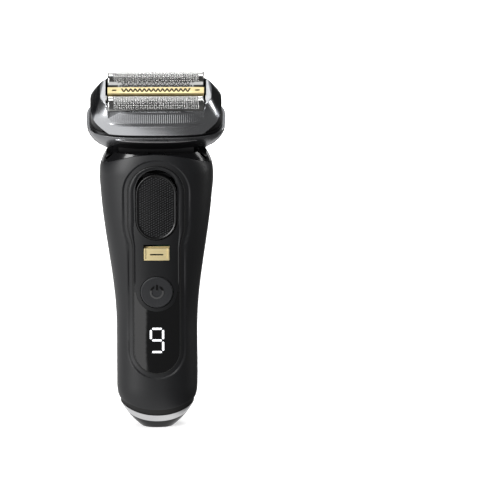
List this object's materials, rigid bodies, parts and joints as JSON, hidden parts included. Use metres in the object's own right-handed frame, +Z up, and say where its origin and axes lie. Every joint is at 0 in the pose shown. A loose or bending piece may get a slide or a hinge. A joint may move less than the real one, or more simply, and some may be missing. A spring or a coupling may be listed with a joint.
{
  "type": "electric shaver",
  "caption": "Cordless foil shaver: a waisted black handle with slider, switch, power button and numeric display, and a swivelling head with foils, a gold trimmer and a rear pop-up trimmer.",
  "frame": {"origin": "centre of the flat foot, at the mouth of the charging socket", "axes": "+Z up along the handle, -Y out of the front with the display, +X to the right seen from the front"},
  "size_m": [0.0636, 0.048, 0.1682],
  "materials": {
    "cover_black": "matte, very fine grain",
    "rear_black": "matte",
    "grip_rubber": "soft matte",
    "gloss_black": "piano gloss",
    "seal_black": "matte",
    "satin_chrome": "satin chrome",
    "dark_chrome": "dark satin chrome",
    "frame_chrome": "brushed satin chrome",
    "panel_black": "satin",
    "display_black": "clear gloss over black",
    "display_white": "lit white",
    "slider_black": "satin with fine raised pattern",
    "gold": "satin gold plate",
    "button_black": "satin",
    "icon_black": "gloss",
    "head_black": "satin",
    "foil_steel": "polished, perforated",
    "guard_steel": "polished",
    "blade_steel": "ground",
    "spring_steel": "drawn wire",
    "inner_black": "moulded",
    "inner_white": "moulded",
    "contact_gold": "plated",
    "board_green": "solder mask",
    "chip_black": "moulded",
    "cell_wrap": "shrink wrap",
    "copper": "enamelled wire",
    "magnet_steel": "plated"
  },
  "bodies": {
    "handle": {"front_cover": "cover_black", "rear_cover": "rear_black", "rear_grip": "grip_rubber", "base_seal": "seal_black", "base_ring": "satin_chrome", "base_cap": "gloss_black", "charging_socket": "inner_black", "socket_pins": "contact_gold", "station_contacts": "contact_gold", "front_panel": "panel_black", "display_window": "display_black", "display_segments": "display_white", "display_module": "inner_white", "button_seal": "seal_black", "chassis": "inner_black", "yoke_screws": "spring_steel", "battery_cell": "cell_wrap", "circuit_board": "board_green", "board_parts": "chip_black", "neck_yoke": "gloss_black", "pivot_pins": "spring_steel"},
    "lock": {"lock_slider": "slider_black", "lock_bar": "inner_black"},
    "switch": {"precision_switch": "gold"},
    "power": {"power_button": "button_black", "power_icon": "icon_black"},
    "trimmer": {"trimmer_slide": "panel_black", "trimmer_comb": "blade_steel"},
    "trimmer_release": {"trimmer_button": "button_black"},
    "trimmer_cutter": {"trimmer_blade": "blade_steel"},
    "head": {"head_housing": "head_black", "head_ring": "dark_chrome", "cassette_seat": "head_black", "release_springs": "spring_steel", "motor_stator": "magnet_steel", "motor_coil": "copper", "leaf_springs": "spring_steel"},
    "drive": {"drive_bridge": "inner_white", "motor_armature": "magnet_steel"},
    "release_right": {"release_button_right": "button_black"},
    "release_left": {"release_button_left": "button_black"},
    "cassette": {"cassette_frame": "frame_chrome", "cassette_tray": "inner_black", "float_springs": "spring_steel"},
    "front_row": {"front_foil": "foil_steel", "front_foil_holder": "inner_black"},
    "rear_row": {"rear_foil": "foil_steel", "rear_foil_holder": "inner_black"},
    "gold_row": {"gold_trimmer": "gold", "gold_holder": "inner_black"},
    "guard_row": {"skin_guard": "guard_steel", "guard_holder": "inner_black"},
    "front_blades": {"front_cutter": "blade_steel"},
    "rear_blades": {"rear_cutter": "blade_steel"},
    "middle_blades": {"middle_blade": "blade_steel"}
  },
  "joints": [
    {"name": "head_swivel", "type": "hinge", "parent": "handle", "child": "head", "pos_m": [0, -0.004, 0.1325], "axis": [1, 0, 0], "range_deg": [-22, 11]},
    {"name": "lock_slide", "type": "slide", "parent": "handle", "child": "lock", "axis": [0, 0, 1], "range_m": [0, 0.0018]},
    {"name": "switch_slide", "type": "slide", "parent": "handle", "child": "switch", "axis": [0, 0, 1], "range_m": [0, 0.0015]},
    {"name": "power_press", "type": "slide", "parent": "handle", "child": "power", "axis": [0, 1, 0], "range_m": [0, 0.0006], "stiffness_N_per_m": 600, "springref_m": -0.0004},
    {"name": "trimmer_raise", "type": "slide", "parent": "handle", "child": "trimmer", "axis": [0, 0, 1], "range_m": [0, 0.012]},
    {"name": "trimmer_release_press", "type": "slide", "parent": "trimmer", "child": "trimmer_release", "axis": [0, -1, 0], "range_m": [0, 0.0008], "stiffness_N_per_m": 400, "springref_m": -0.0004},
    {"name": "trimmer_oscillation", "type": "slide", "parent": "trimmer", "child": "trimmer_cutter", "axis": [1, 0, 0], "range_m": [-0.001, 0.001]},
    {"name": "drive_oscillation", "type": "slide", "parent": "head", "child": "drive", "axis": [1, 0, 0], "range_m": [-0.0012, 0.0012], "stiffness_N_per_m": 400},
    {"name": "release_right_press", "type": "slide", "parent": "head", "child": "release_right", "axis": [-1, 0, 0], "range_m": [0, 0.001], "stiffness_N_per_m": 400, "springref_m": -0.0005},
    {"name": "release_left_press", "type": "slide", "parent": "head", "child": "release_left", "axis": [1, 0, 0], "range_m": [0, 0.001], "stiffness_N_per_m": 400, "springref_m": -0.0005},
    {"name": "cassette_lift", "type": "slide", "parent": "head", "child": "cassette", "axis": [0, -0.4384, 0.8988], "range_m": [0, 0.018]},
    {"name": "front_row_float", "type": "slide", "parent": "cassette", "child": "front_row", "axis": [0, 0.4384, -0.8988], "range_m": [0, 0.0022], "stiffness_N_per_m": 250, "springref_m": -0.0012},
    {"name": "rear_row_float", "type": "slide", "parent": "cassette", "child": "rear_row", "axis": [0, 0.4384, -0.8988], "range_m": [0, 0.0022], "stiffness_N_per_m": 250, "springref_m": -0.0012},
    {"name": "gold_row_float", "type": "slide", "parent": "cassette", "child": "gold_row", "axis": [0, 0.4384, -0.8988], "range_m": [0, 0.0022], "stiffness_N_per_m": 250, "springref_m": -0.0012},
    {"name": "guard_row_float", "type": "slide", "parent": "cassette", "child": "guard_row", "axis": [0, 0.4384, -0.8988], "range_m": [0, 0.0022], "stiffness_N_per_m": 250, "springref_m": -0.0012},
    {"name": "front_blades_oscillation", "type": "slide", "parent": "front_row", "child": "front_blades", "axis": [1, 0, 0], "range_m": [-0.0012, 0.0012]},
    {"name": "rear_blades_oscillation", "type": "slide", "parent": "rear_row", "child": "rear_blades", "axis": [1, 0, 0], "range_m": [-0.0012, 0.0012]},
    {"name": "middle_blades_oscillation", "type": "slide", "parent": "gold_row", "child": "middle_blades", "axis": [1, 0, 0], "range_m": [-0.0012, 0.0012]}
  ],
  "couplings": [
    {"joint": "front_blades_oscillation", "follows": "drive_oscillation", "ratio": 1},
    {"joint": "rear_blades_oscillation", "follows": "drive_oscillation", "ratio": 1},
    {"joint": "middle_blades_oscillation", "follows": "drive_oscillation", "ratio": 1},
    {"joint": "trimmer_oscillation", "follows": "drive_oscillation", "ratio": 0.8}
  ]
}
